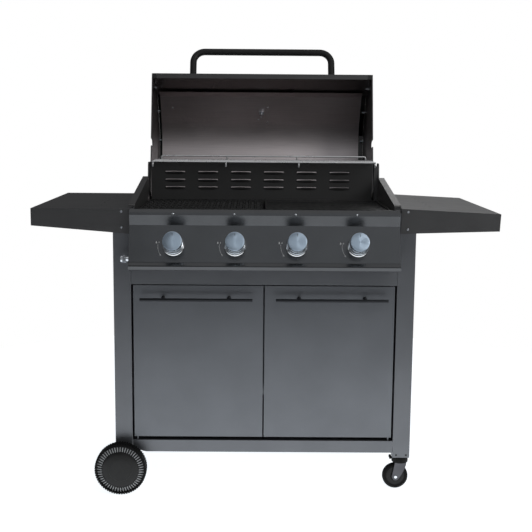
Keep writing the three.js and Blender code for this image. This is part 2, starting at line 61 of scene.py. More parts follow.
# The lid: its hinge line, and the (Y, Z) corners of its front when it is shut.
LID_OPEN = math.radians(103.7)
LID_HINGE = (-5.5, 410, 845)
LID_FOOT, LID_BEND, LID_SHOULDER = (25, 833), (51, 995), (165, 1111)
FRONT_LEAN = math.atan2(LID_BEND[0] - LID_FOOT[0], LID_BEND[1] - LID_FOOT[1])

# The wheels on the left, with the way that their caps face, and the casters on the right.
WHEEL_X, WHEEL_RADIUS = -411, 75
WHEELS = (("front", -34, -1), ("rear", 604, 1))
CASTER_X, CASTER_TRAIL, CASTER_RADIUS = 405, 13, 37.5
CASTERS = (("front", 22), ("rear", 548))

SIDES = (("left", -1), ("right", 1))
UP_Z = Vector((0, 0, 1))
SHARP_ANGLE = math.radians(32)


def at(x, y, z):
    """A point given in the cart's millimetres, in the frame's metres."""
    return ORIGIN + Vector((x, y, z)) * MM


# ---- materials ----

def shader(name, color, roughness, metallic=0.0, specular=0.5):
    material = bpy.data.materials.new(name)
    material.use_nodes = True
    nodes = material.node_tree.nodes
    bsdf = nodes["Principled BSDF"]
    bsdf.inputs["Base Color"].default_value = (*color, 1.0)
    bsdf.inputs["Roughness"].default_value = roughness
    bsdf.inputs["Metallic"].default_value = metallic
    bsdf.inputs["Specular IOR Level"].default_value = specular
    return material, bsdf


def noise(material, scale, detail, stretch=(1, 1, 1)):
    """A noise field in metres, drawn out along an axis by a small number in stretch."""
    nodes, links = material.node_tree.nodes, material.node_tree.links
    place = nodes.new("ShaderNodeTexCoord")
    mapping = nodes.new("ShaderNodeMapping")
    mapping.inputs["Scale"].default_value = stretch
    field = nodes.new("ShaderNodeTexNoise")
    field.inputs["Scale"].default_value = scale
    field.inputs["Detail"].default_value = detail
    links.new(place.outputs["Object"], mapping.inputs["Vector"])
    links.new(mapping.outputs["Vector"], field.inputs["Vector"])
    return field.outputs["Fac"]


def vary(material, bsdf, field, socket, low, high):
    """Drives one socket of the shader between two numbers or two colours by a noise field."""
    nodes, links = material.node_tree.nodes, material.node_tree.links
    ramp = nodes.new("ShaderNodeValToRGB")
    for stop, position, value in zip(ramp.color_ramp.elements, (0.3, 0.7), (low, high)):
        stop.position = position
        color = value if hasattr(value, "__len__") else (value, value, value)
        stop.color = (*color, 1.0)
    links.new(field, ramp.inputs["Fac"])
    links.new(ramp.outputs["Color"], bsdf.inputs[socket])


def bump(material, bsdf, fields, distance):
    """Adds relief from several (noise field, strength) pairs, each on top of the one before."""
    nodes, links = material.node_tree.nodes, material.node_tree.links
    below = None
    for field, strength in fields:
        relief = nodes.new("ShaderNodeBump")
        relief.inputs["Strength"].default_value = strength
        relief.inputs["Distance"].default_value = distance
        links.new(field, relief.inputs["Height"])
        if below is not None:
            links.new(below, relief.inputs["Normal"])
        below = relief.outputs["Normal"]
    links.new(below, bsdf.inputs["Normal"])


def shades(color, spread):
    """A darker and a lighter shade of a colour, by the same share of it."""
    return [[c * (1 - spread) for c in color], [c * (1 + spread) for c in color]]


def powder_coat(name, color, roughness=0.36, grain=1.0, metallic=0.0):
    """Satin powder coat: fine orange peel, faint clouds of tone, slightly uneven gloss."""
    material, bsdf = shader(name, color, roughness, metallic)
    clouds = noise(material, 9.0, 4.0)
    peel = noise(material, 900.0, 2.0)
    fleck = noise(material, 2600.0, 1.0)
    vary(material, bsdf, clouds, "Base Color", *shades(color, 0.05))
    vary(material, bsdf, noise(material, 24.0, 5.0), "Roughness", roughness - 0.02, roughness + 0.02)
    bump(material, bsdf, [(peel, 0.10 * grain), (fleck, 0.05 * grain)], 0.0004)
    return material


def brushed(name, color, roughness, along="X"):
    """Metal with fine lines along one axis."""
    material, bsdf = shader(name, color, roughness, 1.0)
    stretch = {"X": (0.012, 1, 1), "Y": (1, 0.012, 1)}[along]
    lines = noise(material, 900.0, 4.0, stretch)
    smears = noise(material, 6.0, 4.0)
    vary(material, bsdf, lines, "Base Color", *shades(color, 0.08))
    vary(material, bsdf, smears, "Roughness", roughness - 0.05, roughness + 0.07)
    bump(material, bsdf, [(lines, 0.12)], 0.0003)
    return material


def plated(name, color, roughness):
    """Plated or polished metal with faint dulling."""
    material, bsdf = shader(name, color, roughness, 1.0)
    vary(material, bsdf, noise(material, 30.0, 5.0), "Roughness", roughness * 0.7, roughness * 1.4)
    vary(material, bsdf, noise(material, 60.0, 3.0), "Base Color", *shades(color, 0.04))
    bump(material, bsdf, [(noise(material, 400.0, 2.0), 0.03)], 0.0003)
    return material


def cast(name, color, roughness):
    """Cast iron under seasoning oil: coarse sandy relief with duller and shinier patches."""
    material, bsdf = shader(name, color, roughness, specular=0.4)
    vary(material, bsdf, noise(material, 40.0, 6.0), "Base Color", *shades(color, 0.35))
    vary(material, bsdf, noise(material, 55.0, 5.0), "Roughness", roughness - 0.15, roughness + 0.12)
    sand, pores = noise(material, 420.0, 5.0), noise(material, 1500.0, 2.0)
    bump(material, bsdf, [(sand, 0.35), (pores, 0.2)], 0.0005)
    return material


def moulded(name, color, roughness, relief=0.12, specular=0.5):
    """Moulded plastic or rubber with a fine spark-eroded grain."""
    material, bsdf = shader(name, color, roughness, specular=specular)
    vary(material, bsdf, noise(material, 70.0, 4.0), "Base Color", *shades(color, 0.12))
    vary(material, bsdf, noise(material, 90.0, 4.0), "Roughness", roughness - 0.06, roughness + 0.08)
    bump(material, bsdf, [(noise(material, 1800.0, 3.0), relief)], 0.0003)
    return material


def spun(name, color, roughness):
    """A turned metal face with rings round its own Z axis, and the fan-shaped sheen they give."""
    material, bsdf = shader(name, color, roughness, 1.0)
    bsdf.inputs["Anisotropic"].default_value = 0.75
    nodes, links = material.node_tree.nodes, material.node_tree.links
    place = nodes.new("ShaderNodeTexCoord")
    flat = nodes.new("ShaderNodeVectorMath")
    flat.operation = "MULTIPLY"
    flat.inputs[1].default_value = (1, 1, 0)
    radius = nodes.new("ShaderNodeVectorMath")
    radius.operation = "LENGTH"
    rings = nodes.new("ShaderNodeTexNoise")
    rings.noise_dimensions = "1D"
    rings.inputs["Scale"].default_value = 2600.0
    rings.inputs["Detail"].default_value = 3.0
    links.new(place.outputs["Object"], flat.inputs[0])
    links.new(flat.outputs["Vector"], radius.inputs[0])
    links.new(radius.outputs["Value"], rings.inputs["W"])
    vary(material, bsdf, rings.outputs["Fac"], "Base Color", *shades(color, 0.06))
    bump(material, bsdf, [(rings.outputs["Fac"], 0.10)], 0.0002)
    sheen = nodes.new("ShaderNodeTangent")
    sheen.direction_type = "RADIAL"
    sheen.axis = "Z"
    links.new(sheen.outputs["Tangent"], bsdf.inputs["Tangent"])
    return material


M = {
    "cart": powder_coat("cart_powder_coat", (0.178, 0.185, 0.199), 0.40, metallic=0.8),
    "shelf": powder_coat("shelf_powder_coat", (0.120, 0.120, 0.122), 0.42, metallic=0.8),
    "door": powder_coat("door_powder_coat", (0.178, 0.187, 0.203), 0.38, metallic=0.8),
    "lid": powder_coat("lid_enamel", (0.085, 0.084, 0.084), 0.32, metallic=0.8),
    "panel": powder_coat("panel_paint", (0.096, 0.099, 0.104), 0.23, 0.15, 0.88),
    "pull": powder_coat("pull_paint", (0.032, 0.034, 0.038), 0.34, metallic=0.8),
    "grip": moulded("grip_paint", (0.018, 0.018, 0.018), 0.42, 0.05, specular=0.28),
    "firebox": powder_coat("firebox_enamel", (0.042, 0.042, 0.042), 0.42),
    # Painted light: the same black enamel as the tub, made much lighter because the sides' flanges catch
    # the light from above.
    "firebox_side": powder_coat("firebox_side_enamel_painted_light", (0.140, 0.140, 0.140), 0.38, metallic=0.7),
    "iron": cast("seasoned_iron", (0.012, 0.012, 0.012), 0.26),
    "griddle": cast("griddle_iron", (0.022, 0.022, 0.022), 0.5),
    "liner": brushed("liner_stainless", (0.72, 0.66, 0.665), 0.47),
    # Painted light: far lighter than the lid's black enamel, to lift the shade inside the lid's front.
    "inner": brushed("lid_inner_enamel_painted_light", (0.34, 0.32, 0.32), 0.30),
    "sooted": brushed("sooted_steel", (0.018, 0.017, 0.016), 0.60, "Y"),
    "steel": brushed("tray_stainless", (0.50, 0.48, 0.46), 0.36, "Y"),
    "chrome": plated("chrome_plate", (0.80, 0.82, 0.84), 0.10),
    "wire": plated("wire_chrome", (0.84, 0.85, 0.86), 0.30),
    "zinc": plated("zinc_plate", (0.46, 0.48, 0.52), 0.32),
    "dull_zinc": plated("dull_zinc_plate", (0.11, 0.11, 0.12), 0.36),
    "bright": plated("bright_screw", (0.88, 0.92, 0.97), 0.26),
    "knob_face": spun("knob_face", (0.52, 0.63, 0.75), 0.30),
    "knob_side": plated("knob_side", (0.62, 0.68, 0.74), 0.24),
    "brass": plated("turned_brass", (0.60, 0.46, 0.22), 0.25),
    "black": moulded("black_plastic", (0.014, 0.014, 0.015), 0.48),
    "rubber": moulded("tyre_rubber", (0.006, 0.006, 0.006), 0.62, 0.2, specular=0.18),
    "ribs": moulded("grey_ribs", (0.42, 0.43, 0.44), 0.5),
    "hub": moulded("hub_cap", (0.010, 0.010, 0.010), 0.34, 0.05, specular=0.32),
    "print": moulded("panel_print", (0.60, 0.60, 0.60), 0.6, 0.0),
    "dial": moulded("dial_white", (0.72, 0.72, 0.70), 0.4, 0.0),
}


# ---- shapes ----

class Build:
    """Gathers solids, in millimetres of a local place, into one piece with several materials."""

    def __init__(self, *materials):
        self.mesh = bmesh.new()
        self.materials = materials

    def add(self, points, faces, material=0):
        verts = [self.mesh.verts.new(p) for p in points]
        for face in faces:
            made = self.mesh.faces.new([verts[i] for i in face])
            made.material_index = material

    def lathe(self, profile, steps=48, place=Matrix(), material=0, closed=False):
        """Turns (radius, height) points about local Z. A closed profile is a ring's section."""
        rings = []
        points = []
        for r, h in profile:
            if r < 1e-6:
                rings.append([len(points)])
                points.append(place @ Vector((0, 0, h)))
                continue
            rings.append(list(range(len(points), len(points) + steps)))
            for i in range(steps):
                a = 2 * math.pi * i / steps
                points.append(place @ Vector((r * math.cos(a), r * math.sin(a), h)))
        pairs = list(zip(rings, rings[1:]))
        if closed:
            pairs.append((rings[-1], rings[0]))
        faces = []
        for low, high in pairs:
            for i in range(steps):
                j = (i + 1) % steps
                if len(low) == 1 and len(high) > 1:
                    faces.append((low[0], high[j], high[i]))
                elif len(high) == 1 and len(low) > 1:
                    faces.append((low[i], low[j], high[0]))
                elif len(low) > 1:
                    faces.append((low[i], low[j], high[j], high[i]))
        self.add(points, faces, material)

    def tube(self, path, radius, sides=12, material=0, closed=False):
        """A round wire along a path, with flat ends unless the path closes on itself."""
        path = [Vector(p) for p in path]
        count = len(path)
        points = []
        normal = None
        for i, p in enumerate(path):
            before = path[i - 1] if i or closed else p
            after = path[(i + 1) % count] if i < count - 1 or closed else p
            run = (after - before).normalized()
            if normal is None:
                normal = run.orthogonal().normalized()
            normal = (normal - run * normal.dot(run)).normalized()
            other = run.cross(normal)
            for k in range(sides):
                a = 2 * math.pi * k / sides
                points.append(p + (normal * math.cos(a) + other * math.sin(a)) * radius)
        faces = []
        for i in range(count if closed else count - 1):
            for k in range(sides):
                a, b = i * sides, ((i + 1) % count) * sides
                beside = (k + 1) % sides
                faces.append((a + k, a + beside, b + beside, b + k))
        if not closed:
            faces.append(tuple(reversed(range(sides))))
            faces.append(tuple(range((count - 1) * sides, count * sides)))
        self.add(points, faces, material)

    def bridge(self, points, material=0):
        """A closed solid between two rings, given one after the other, with as many points each."""
        n = len(points) // 2
        faces = [tuple(reversed(range(n))), tuple(range(n, 2 * n))]
        faces += [(i, (i + 1) % n, n + (i + 1) % n, n + i) for i in range(n)]
        self.add(points, faces, material)

    def prism(self, outline, low, high, place=Matrix(), material=0):
        """An outline in local XY between two heights."""
        points = [place @ Vector((x, y, z)) for z in (low, high) for x, y in outline]
        self.bridge(points, material)

    def box(self, low, high, place=Matrix(), material=0):
        (x0, y0, z0), (x1, y1, z1) = low, high
        self.prism([(x0, y0), (x1, y0), (x1, y1), (x0, y1)], z0, z1, place, material)

    def object(self, name, place, bevel=0.0, settled=False):
        """Makes the mesh, which ends the gathering. A settled one has its place in its mesh."""
        bmesh.ops.recalc_face_normals(self.mesh, faces=self.mesh.faces)
        data = bpy.data.meshes.new(name)
        self.mesh.to_mesh(data)
        self.mesh.free()
        data.transform(Matrix.Scale(MM, 4))
        for material in self.materials:
            data.materials.append(material)
        obj = bpy.data.objects.new(name, data)
        bpy.context.scene.collection.objects.link(obj)
        if settled:
            data.transform(place)
        else:
            obj.matrix_world = place
        if bevel:
            add_bevel(obj, bevel)
        data.shade_smooth()
        data.set_sharp_from_angle(angle=SHARP_ANGLE)
        return obj

    def piece(self, name, body, place=None, *, replaces=(), bevel=0.0, settled=False):
        """Turns what was gathered into an object that rides on a CAD body.

        A settled piece has its place in its mesh, so that its own box fits it closely.
        """
        obj = self.object(name, place or Matrix.Translation(ORIGIN), bevel, settled)
        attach(obj, body)
        if replaces:
            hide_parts(*replaces)


def add_bevel(obj, width):
    bevel = obj.modifiers.new("edge", "BEVEL")
    bevel.width = width * MM
    bevel.segments = 3
    bevel.limit_method = "ANGLE"
    bevel.angle_limit = math.radians(28)
    bevel.harden_normals = True


def turned_to(z_axis, y_hint=Vector((0, 1, 0))):
    """A turn with local Z along z_axis, and local Y as near to y_hint as it can be."""
    z = Vector(z_axis).normalized()
    if abs(z.dot(y_hint)) > 0.99:
        y_hint = Vector((1, 0, 0))
    x = y_hint.cross(z).normalized()
    y = z.cross(x)
    return Matrix((x, y, z)).transposed().to_4x4()


def local_at(point, z_axis, y_hint=Vector((0, 1, 0))):
    """A place in millimetres for a solid inside a piece, with local Z along z_axis."""
    return Matrix.Translation(Vector(point)) @ turned_to(z_axis, y_hint)


def front_place(x, y, z, facing=-1):
    """Local Z points out of the front (or the rear), local Y up, in millimetres."""
    return local_at((x, y, z), (0, facing, 0), UP_Z)


def polar(radius, degrees):
    return (radius * math.cos(math.radians(degrees)), radius * math.sin(math.radians(degrees)))


def arc(a, b, radius, start, end, steps):
    """Points from one angle to another, in degrees, round the centre (a, b)."""
    return [
        (a + radius * math.cos(math.radians(start + (end - start) * i / steps)),
         b + radius * math.sin(math.radians(start + (end - start) * i / steps)))
        for i in range(steps + 1)
    ]


def refine(names, material, bevel):
    """Keeps CAD nodes, with welded, softly rounded edges and a better finish."""
    for name in names:
        obj = NODES[name]
        obj.data.materials.clear()
        obj.data.materials.append(material)
        weld = obj.modifiers.new("weld", "WELD")
        weld.merge_threshold = 1e-5
        planar = obj.modifiers.new("planar", "DECIMATE")
        planar.decimate_type = "DISSOLVE"
        planar.angle_limit = math.radians(0.5)
        if bevel:
            add_bevel(obj, bevel)
        obj.data.shade_smooth()
        smooth = obj.modifiers.new("normals", "WEIGHTED_NORMAL")
        smooth.keep_sharp = True


def refine_cart():
    legs = [f"leg_{where}_{side}" for where in ("front", "rear") for side, _ in SIDES]
    rails = ["front_top_rail", "front_bottom_rail", "rear_top_rail", "rear_panel", "cabinet_floor"]
    refine(legs, M["cart"], 1.6)
    refine(rails + ["side_panel_left", "side_panel_right"], M["cart"], 0.7)
    refine(["side_shelf_left", "side_shelf_right"], M["shelf"], 1.4)
    refine(["door_left", "door_right"], M["door"], 1.2)
    refine(["control_panel"], M["panel"], 0.9)
    refine(["firebox_tub", "rear_vent_wall"], M["firebox"], 0.5)
    # The firebox sides get the lightened enamel: painted light for their lit flanges.
    refine(["firebox_side_left", "firebox_side_right"], M["firebox_side"], 0.5)
    refine(["drip_tray"], M["steel"], 0.4)
    refine(["flame_tamer_left", "flame_tamer_right"], M["sooted"], 0.4)
    refine([f"burner_{i}" for i in range(1, 5)], M["sooted"], 0.3)
    refine([f"valve_stem_{i}" for i in range(1, 5)], M["brass"], 0.3)
    refine(["gas_manifold"], M["bright"], 0.3)
    refine(["wheel_axle"], M["zinc"], 0.3)
    refine(["griddle_plate"], M["griddle"], 1.2)
    refine(["lid_skin", "lid_cap_left", "lid_cap_right"], M["lid"], 0.7)


# ---- camera, floor and light ----

def make_camera():
    """A camera 1.1 m up, close to square on to the front and looking slightly down."""
    focal = 66.72
    eye = (-35.0, -2774.4, 1083.7)
    pitch, yaw, roll = 0.14993, 0.00525, 0.00758
    data = bpy.data.cameras.new("camera")
    data.lens = focal
    data.sensor_width = 36.0
    data.shift_x = 0.0166
    data.shift_y = -0.0002
    camera = bpy.data.objects.new("camera", data)
    bpy.context.scene.collection.objects.link(camera)
    bpy.context.scene.camera = camera
    to_view = Matrix(((1, 0, 0), (0, 0, -1), (0, 1, 0)))
    turn = Matrix.Rotation(roll, 3, "Z") @ Matrix.Rotation(pitch, 3, "X")
    turn = turn @ to_view @ Matrix.Rotation(yaw, 3, "Z")
    rows = Matrix((turn[0], -turn[1], -turn[2]))
    camera.matrix_world = Matrix.Translation(at(*eye)) @ rows.transposed().to_4x4()


def area_light(name, place, target, size, power, color=(1, 1, 1)):
    data = bpy.data.lights.new(name, "AREA")
    data.shape = "RECTANGLE"
    data.size, data.size_y = size
    data.energy = power
    data.color = color
    light = bpy.data.objects.new(name, data)
    bpy.context.scene.collection.objects.link(light)
    light.location = place
    light.rotation_euler = (Vector(target) - Vector(place)).to_track_quat("-Z", "Y").to_euler()


def make_floor():
    """A round white floor with a glow of its own, centred under the cart."""
    material = moulded("studio_floor", (0.86, 0.86, 0.86), 0.7, 0.0)
    glow = material.node_tree.nodes["Principled BSDF"].inputs
    glow["Emission Color"].default_value = (0.93, 0.97, 1.0, 1)
    glow["Emission Strength"].default_value = 0.95
    build = Build(material)
    radius, under, top, middle = 1900, -6, -0.5, 285
    section = [(0, under), (radius, under), (radius, top), (0, top)]
    build.lathe(section, 96, Matrix.Translation((0, middle, 0)))
    floor = build.object("floor", Matrix.Translation(ORIGIN))


def make_world():
    """Faint light from all round, with plain white where the camera sees past the grill."""
    world = bpy.data.worlds.new("studio")
    bpy.context.scene.world = world
    world.use_nodes = True
    nodes, links = world.node_tree.nodes, world.node_tree.links
    soft = nodes["Background"]
    soft.inputs["Color"].default_value = (0.96, 0.97, 1.0, 1)
    soft.inputs["Strength"].default_value = 0.10
    white = nodes.new("ShaderNodeBackground")
    white.inputs["Color"].default_value = (1, 1, 1, 1)
    white.inputs["Strength"].default_value = 1.0
    seen = nodes.new("ShaderNodeLightPath")
    mix = nodes.new("ShaderNodeMixShader")
    links.new(seen.outputs["Is Camera Ray"], mix.inputs["Fac"])
    links.new(soft.outputs["Background"], mix.inputs[1])
    links.new(white.outputs["Background"], mix.inputs[2])
    links.new(mix.outputs["Shader"], nodes["World Output"].inputs["Surface"])


def make_lights():
    """Soft boxes: place and target in metres, size across and up in metres, power in watts."""
    area_light("key", (2.4, -2.4, 2.4), (0, 0, 0.8), (1.4, 1.8), 26, (1.0, 0.98, 0.96))
    area_light("fill", (-2.8, -2.2, 2.0), (0, 0, 0.7), (1.2, 1.6), 3, (0.92, 0.96, 1.0))
    area_light("rear", (1.2, 2.8, 2.4), (0, 0, 0.8), (2.4, 1.2), 10)
    area_light("front_panel", (0.8, -3.3, 2.9), (0.1, 0, 0.8), (3.8, 1.5), 9.5, (0.93, 0.97, 1.0))
    area_light("low_front", (0.9, -3.5, 1.6), (0.1, 0.3, 0.9), (2.6, 0.7), 2.0, (0.93, 0.97, 1.0))
    area_light("ceiling", (0.2, -0.2, 3.3), (0.2, 0, 0), (3.6, 3.0), 14)


def make_stage():
    make_floor()
    make_world()
    make_lights()
    bpy.context.scene.view_settings.view_transform = "Standard"


# ---- controls ----

def station(x):
    """A knob's place on the panel, in metres, with local Z out of the panel and local Y up along it."""
    normal = (0, -math.cos(PANEL_TILT), math.sin(PANEL_TILT))
    return Matrix.Translation(at(x, STATION_Y, STATION_Z)) @ turned_to(normal, UP_Z)


def make_controls():
    """Knobs with a spun face, a waist painted black as painted shade in its groove, and a skirt, each in a
    chrome ring, with their marks.
    """
    dome = [(0, 59.8), (24.4, 59.8), (25.6, 59.5), (26.5, 58.7), (26.8, 57.6)]
    rim = [(26.8, 57.6), (26.8, 37.2), (26.4, 36.2), (25.6, 35.6), (24.2, 35.4)]
    neck = [(24.2, 35.4), (24, 34.6), (24, 25.4), (24.4, 24.6)]
    skirt = [(24.4, 24.6), (27.4, 23.4), (28.3, 22.6), (28.5, 21.8), (28.5, 17.6), (27.9, 17), (4.4, 17)]
    ring = [(21.4, 0.4), (31, 0.4), (31, 5.4), (30.6, 7.4), (29.4, 9.2), (27.4, 10.5), (25, 11), (23, 10.8),
            (21.8, 10), (21.4, 9)]
    pointer_low, pointer_high = (-0.6, 14.5, 59.7), (0.6, 22, 60.0)
    for i, x in enumerate(STATION_X, 1):
        knob = Build(M["knob_face"], M["knob_side"], M["black"])
        knob.lathe(dome, 72)
        knob.lathe(rim, 72, material=1)
        # The chrome knob's recessed waist is painted black: painted shade in the groove.
        knob.lathe(neck, 72, material=2)
        knob.lathe(skirt, 72, material=1)
        knob.box(pointer_low, pointer_high, material=2)
        knob.piece(f"knob_shell_{i}", f"knob_{i}", station(x), replaces=[f"knob_{i}"])
        bezel = Build(M["chrome"])
        bezel.lathe(ring, 72, closed=True)
        bezel.piece(f"bezel_ring_{i}", "frame", station(x), replaces=[f"knob_bezel_{i}"])
        make_print(i, x)


def make_print(i, x):
    """A thin turning arc with an arrowhead, and two small flames, printed left of each knob."""
    sign = Build(M["print"])
    ink = (0.05, 0.16)
    outer, inner = 44.7, 43.6
    start, end = 172, 214
    sweep = arc(0, 0, outer, start, end, 14) + arc(0, 0, inner, start, end, 14)[::-1]
    sign.prism(sweep, *ink)
    sign.prism([polar(44.2, 220), polar(46.4, 213), polar(42.0, 213)], *ink)
    flame = [(0, 4), (1.6, 1.2), (2.2, -1), (1.3, -3), (0, -3.6), (-1.3, -3), (-2.2, -1), (-1.2, 0.6)]
    flame_y = 10.5
    for scale, flame_x in ((1.0, -48.5), (0.7, -41.0)):
        sign.prism([(flame_x + a * scale, flame_y + b * scale) for a, b in flame], *ink)
    sign.piece(f"turn_mark_{i}", "frame", station(x))


def screw_head(build, place, radius, height):
    """A domed cross-head screw along the place's Z axis, in the build's first two materials. Its cross
    recess is a raised cross in the second, black in every build here: painted shade for the recess.
    """
    dome = [(radius, 0), (radius, 0.3), (radius * 0.86, height * 0.62), (radius * 0.5, height * 0.92),
            (0, height)]
    build.lathe(dome, 20, place)
    # Painted shade: the cross recess is drawn as black bars standing on the dome.
    for turn in (0, 90):
        spin = place @ Matrix.Rotation(math.radians(turn), 4, "Z")
        build.box((-radius * 0.5, -0.32, height * 0.8), (radius * 0.5, 0.32, height * 1.04), spin, 1)


def make_screws():
    bright = Build(M["bright"], M["black"])
    strip = (0, -0.96, 0.27)
    for x in SCREW_X:
        screw_head(bright, local_at((x, -30.2, 814.5), strip), 2.9, 1.7)
    bright.piece("panel_screws", "frame")
    dark = Build(M["zinc"], M["black"])
    for x, z in ((-405, 818), (-405, 773), (405, 821.5), (405, 772)):
        screw_head(dark, local_at((x, -2.3, z), (0, -1, 0)), 3.4, 1.8)
    dark.piece("shelf_screws", "frame")
    feet = Build(M["black"], M["black"])
    for x in (391, 420):
        screw_head(feet, local_at((x, 0, 106), (0, -1, 0)), 2.8, 1.4)
    feet.piece("leg_rivets", "frame")


def make_door_handles():
    """A round bar across each door, on two turned posts."""
    height, standoff = 571, 35
    inner, outer = 33, 352
    length = outer - inner
    bar = [(0, 0), (3.6, 0), (4.3, 0.4), (4.5, 1.2), (4.5, length - 1.2), (4.3, length - 0.4),
           (3.6, length), (0, length)]
    post = [(0, 0), (6, 0), (6, 1.6), (5.2, 2.4), (3.8, 3.2), (3.6, 5), (3.6, 32), (0, 33)]
    for name, side in SIDES:
        build = Build(M["pull"])
        start = min(side * inner, side * outer)
        build.lathe(bar, 24, local_at((start, -standoff, height), (1, 0, 0)))
        for x in (side * 100, side * 288):
            build.lathe(post, 20, local_at((x, -1.2, height), (0, -1, 0)))
        build.piece(f"door_pull_{name}", f"door_{name}", replaces=[f"door_handle_{name}"])


# ---- lid ----

def lid_local(y, z, x=0.0):
    """A point of the closed lid, as millimetres from the hinge line."""
    return Vector((x, y - LID_HINGE[1], z - LID_HINGE[2]))


def lid_place():
    """The open lid's place in metres, with its origin on the hinge line."""
    return Matrix.Translation(at(*LID_HINGE)) @ Matrix.Rotation(-LID_OPEN, 4, "X")


def lid_slope(low, high):
    """Directions up along a straight stretch of the closed lid's front, and out of it."""
    run = (lid_local(*high) - lid_local(*low)).normalized()
    return run, Vector((0, -run.z, run.y))


def make_lid_grip():
    """A round tube bent into a handle, standing off the lid's front."""
    run, out = lid_slope(LID_FOOT, LID_BEND)
    foot = lid_local(*LID_FOOT) + run * 45
    bend, x, stand, gap = 38, 228, 99, 0.3
    path = [Vector((-x, 0, 0)) + foot + out * gap]
    for side in (-1, 1):
        steps = range(13) if side < 0 else range(12, -1, -1)
        for i in steps:
            a = math.radians(90 * i / 12)
            across = x - bend + bend * math.cos(a)
            away = stand - bend + bend * math.sin(a)
            path.append(Vector((side * across, 0, 0)) + foot + out * away)
    path.append(Vector((x, 0, 0)) + foot + out * gap)
    handle = Build(M["grip"])
    handle.tube(path, 10.9, 28)
    handle.piece("lid_grip", "lid", lid_place(), settled=True, replaces=["lid_handle"])


def make_thermometer():
    """A round gauge on the lid's slope, with its dial outside and its stem through the skin."""
    run, out = lid_slope(LID_BEND, LID_SHOULDER)
    spot = lid_local(*LID_BEND) + run * 60
    case = [(26.5, 8.6), (26.5, 9.2), (27.2, 10.6), (28.4, 10.9), (29.6, 10.2), (30, 9), (30, 1.5),
            (29, 0.5), (0, 0.5), (0, 2), (26.5, 2)]
    dial = [(0, 8.7), (26.4, 8.7)]
    boss = [(0, 10.2), (1.6, 10), (2.2, 9.2), (2.2, 8.7)]
    stem = [(0, -34), (2.4, -33.6), (3, -32), (3, -22), (4.8, -22), (4.8, 0.5), (0, 0.5)]
    gauge = Build(M["chrome"], M["dial"], M["print"], M["bright"])
    seat = local_at(spot, out, Vector((1, 0, 0)))
    gauge.lathe(case, 64, seat)
    gauge.lathe(dial, 64, seat, 1)
    for k in range(11):
        tick = seat @ Matrix.Rotation(math.radians(-135 + 27 * k), 4, "Z")
        gauge.box((-0.35, 20.0, 8.7), (0.35, 24.2, 8.95), tick, 2)
    needle = seat @ Matrix.Rotation(math.radians(-128), 4, "Z")
    gauge.prism([(-0.9, -4), (0.9, -4), (0.3, 19), (-0.3, 19)], 8.8, 9.2, needle, 2)
    gauge.lathe(boss, 16, seat)
    gauge.lathe(stem, 24, seat, 3)
    hexagon = [polar(9, 60 * i) for i in range(6)]
    gauge.prism(hexagon, -22, -15, seat, 3)
    gauge.piece("lid_thermometer", "lid", lid_place(), settled=True, replaces=["thermometer"])


def make_lid_screws():
    """Stud ends on the lining, and the screws and corner tabs of the end caps."""
    run, out = lid_slope(LID_BEND, LID_SHOULDER)
    studs = Build(M["bright"], M["black"])
    liner = lid_local(*LID_BEND) + run * 8 - out * 13.6
    for x, rise in ((20.5, 34), (-3.5, 72), (-11.5, 82), (20.5, 92), (-305.5, 38)):
        spot = liner + run * rise + Vector((x, 0, 0))
        screw_head(studs, local_at(spot, -out, Vector((1, 0, 0))), 2.6, 2.2)
    studs.piece("lid_studs", "lid", lid_place(), settled=True)

    caps = Build(M["bright"], M["black"])
    for side, length in ((-1, 6.5), (1, 11)):
        for y, z in ((50, 915), (101, 1029), (187, 1098)):
            inward = local_at(lid_local(y, z, side * 355.9), (-side, 0, 0))
            screw = [(6, 0), (6, 1), (3.2, 1.4), (3.2, length - 0.8), (2.4, length), (0, length)]
            caps.lathe(screw, 20, inward)
    for side in (-1, 1):
        x0, x1 = sorted((side * 344, side * 355))
        caps.box(lid_local(26, 831.2, x0), lid_local(40, 832.8, x1), material=1)
    caps.piece("lid_cap_screws", "lid", lid_place(), settled=True)


def lining_path(offset):
    """The inside of the closed lid, that far in from its outer face, with a rounded shoulder."""
    (bend_y, bend_z), (shoulder_y, shoulder_z) = LID_BEND, LID_SHOULDER
    slope = math.atan2(shoulder_z - bend_z, shoulder_y - bend_y)
    turn, lip_length = 165, 35
    rear_y, rear_z, rear_turn = 382, 981, 130
    reach = turn * math.tan(slope / 2)
    start = (bend_y + offset * math.sin(slope), bend_z - offset * math.cos(slope))
    shoulder = arc(shoulder_y + reach, shoulder_z - turn, turn - offset, 90 + math.degrees(slope), 90, 10)
    rear = arc(rear_y, rear_z, rear_turn - offset, 90, 0, 16)
    lip = (start[0] - lip_length * math.sin(FRONT_LEAN), start[1] - lip_length * math.cos(FRONT_LEAN))
    foot = (rear_y + rear_turn - offset, 945)
    return [lip, start, *shoulder, *rear, foot]


def make_lining():
    """The bright lining under the lid's top and back, and a sheet behind its front whose colour is painted
    light, far lighter than the black enamel there, to lift its shade.
    """
    outline = [tuple(lid_local(y, z)[1:]) for y, z in lining_path(12) + lining_path(13.5)[::-1]]
    # Local X, Y and Z run along the lid's Y, Z and X.
    across = Matrix(((0, 0, 1, 0), (1, 0, 0, 0), (0, 1, 0, 0), (0, 0, 0, 1)))
    lining = Build(M["liner"])
    lining.prism(outline, -346, 339, across)
    lining.piece("lid_lining", "lid", lid_place(), settled=True, replaces=["lid_liner"])

    low, high, near, far = 4, 158, 2.8, 3.5
    inset = [(LID_FOOT[0] + rise * math.sin(FRONT_LEAN) + depth * math.cos(FRONT_LEAN),
              LID_FOOT[1] + rise * math.cos(FRONT_LEAN) - depth * math.sin(FRONT_LEAN))
             for rise, depth in ((low, near), (high, near), (high, far), (low, far))]
    # The sheet's light colour is painted light over the shade inside the lid's front.
    sheet = Build(M["inner"])
    sheet.prism([tuple(lid_local(y, z)[1:]) for y, z in inset], -355, 355, across)
    sheet.piece("lid_front_painted_light_sheet", "lid", lid_place(), settled=True)


# ---- firebox and cooking surfaces ----

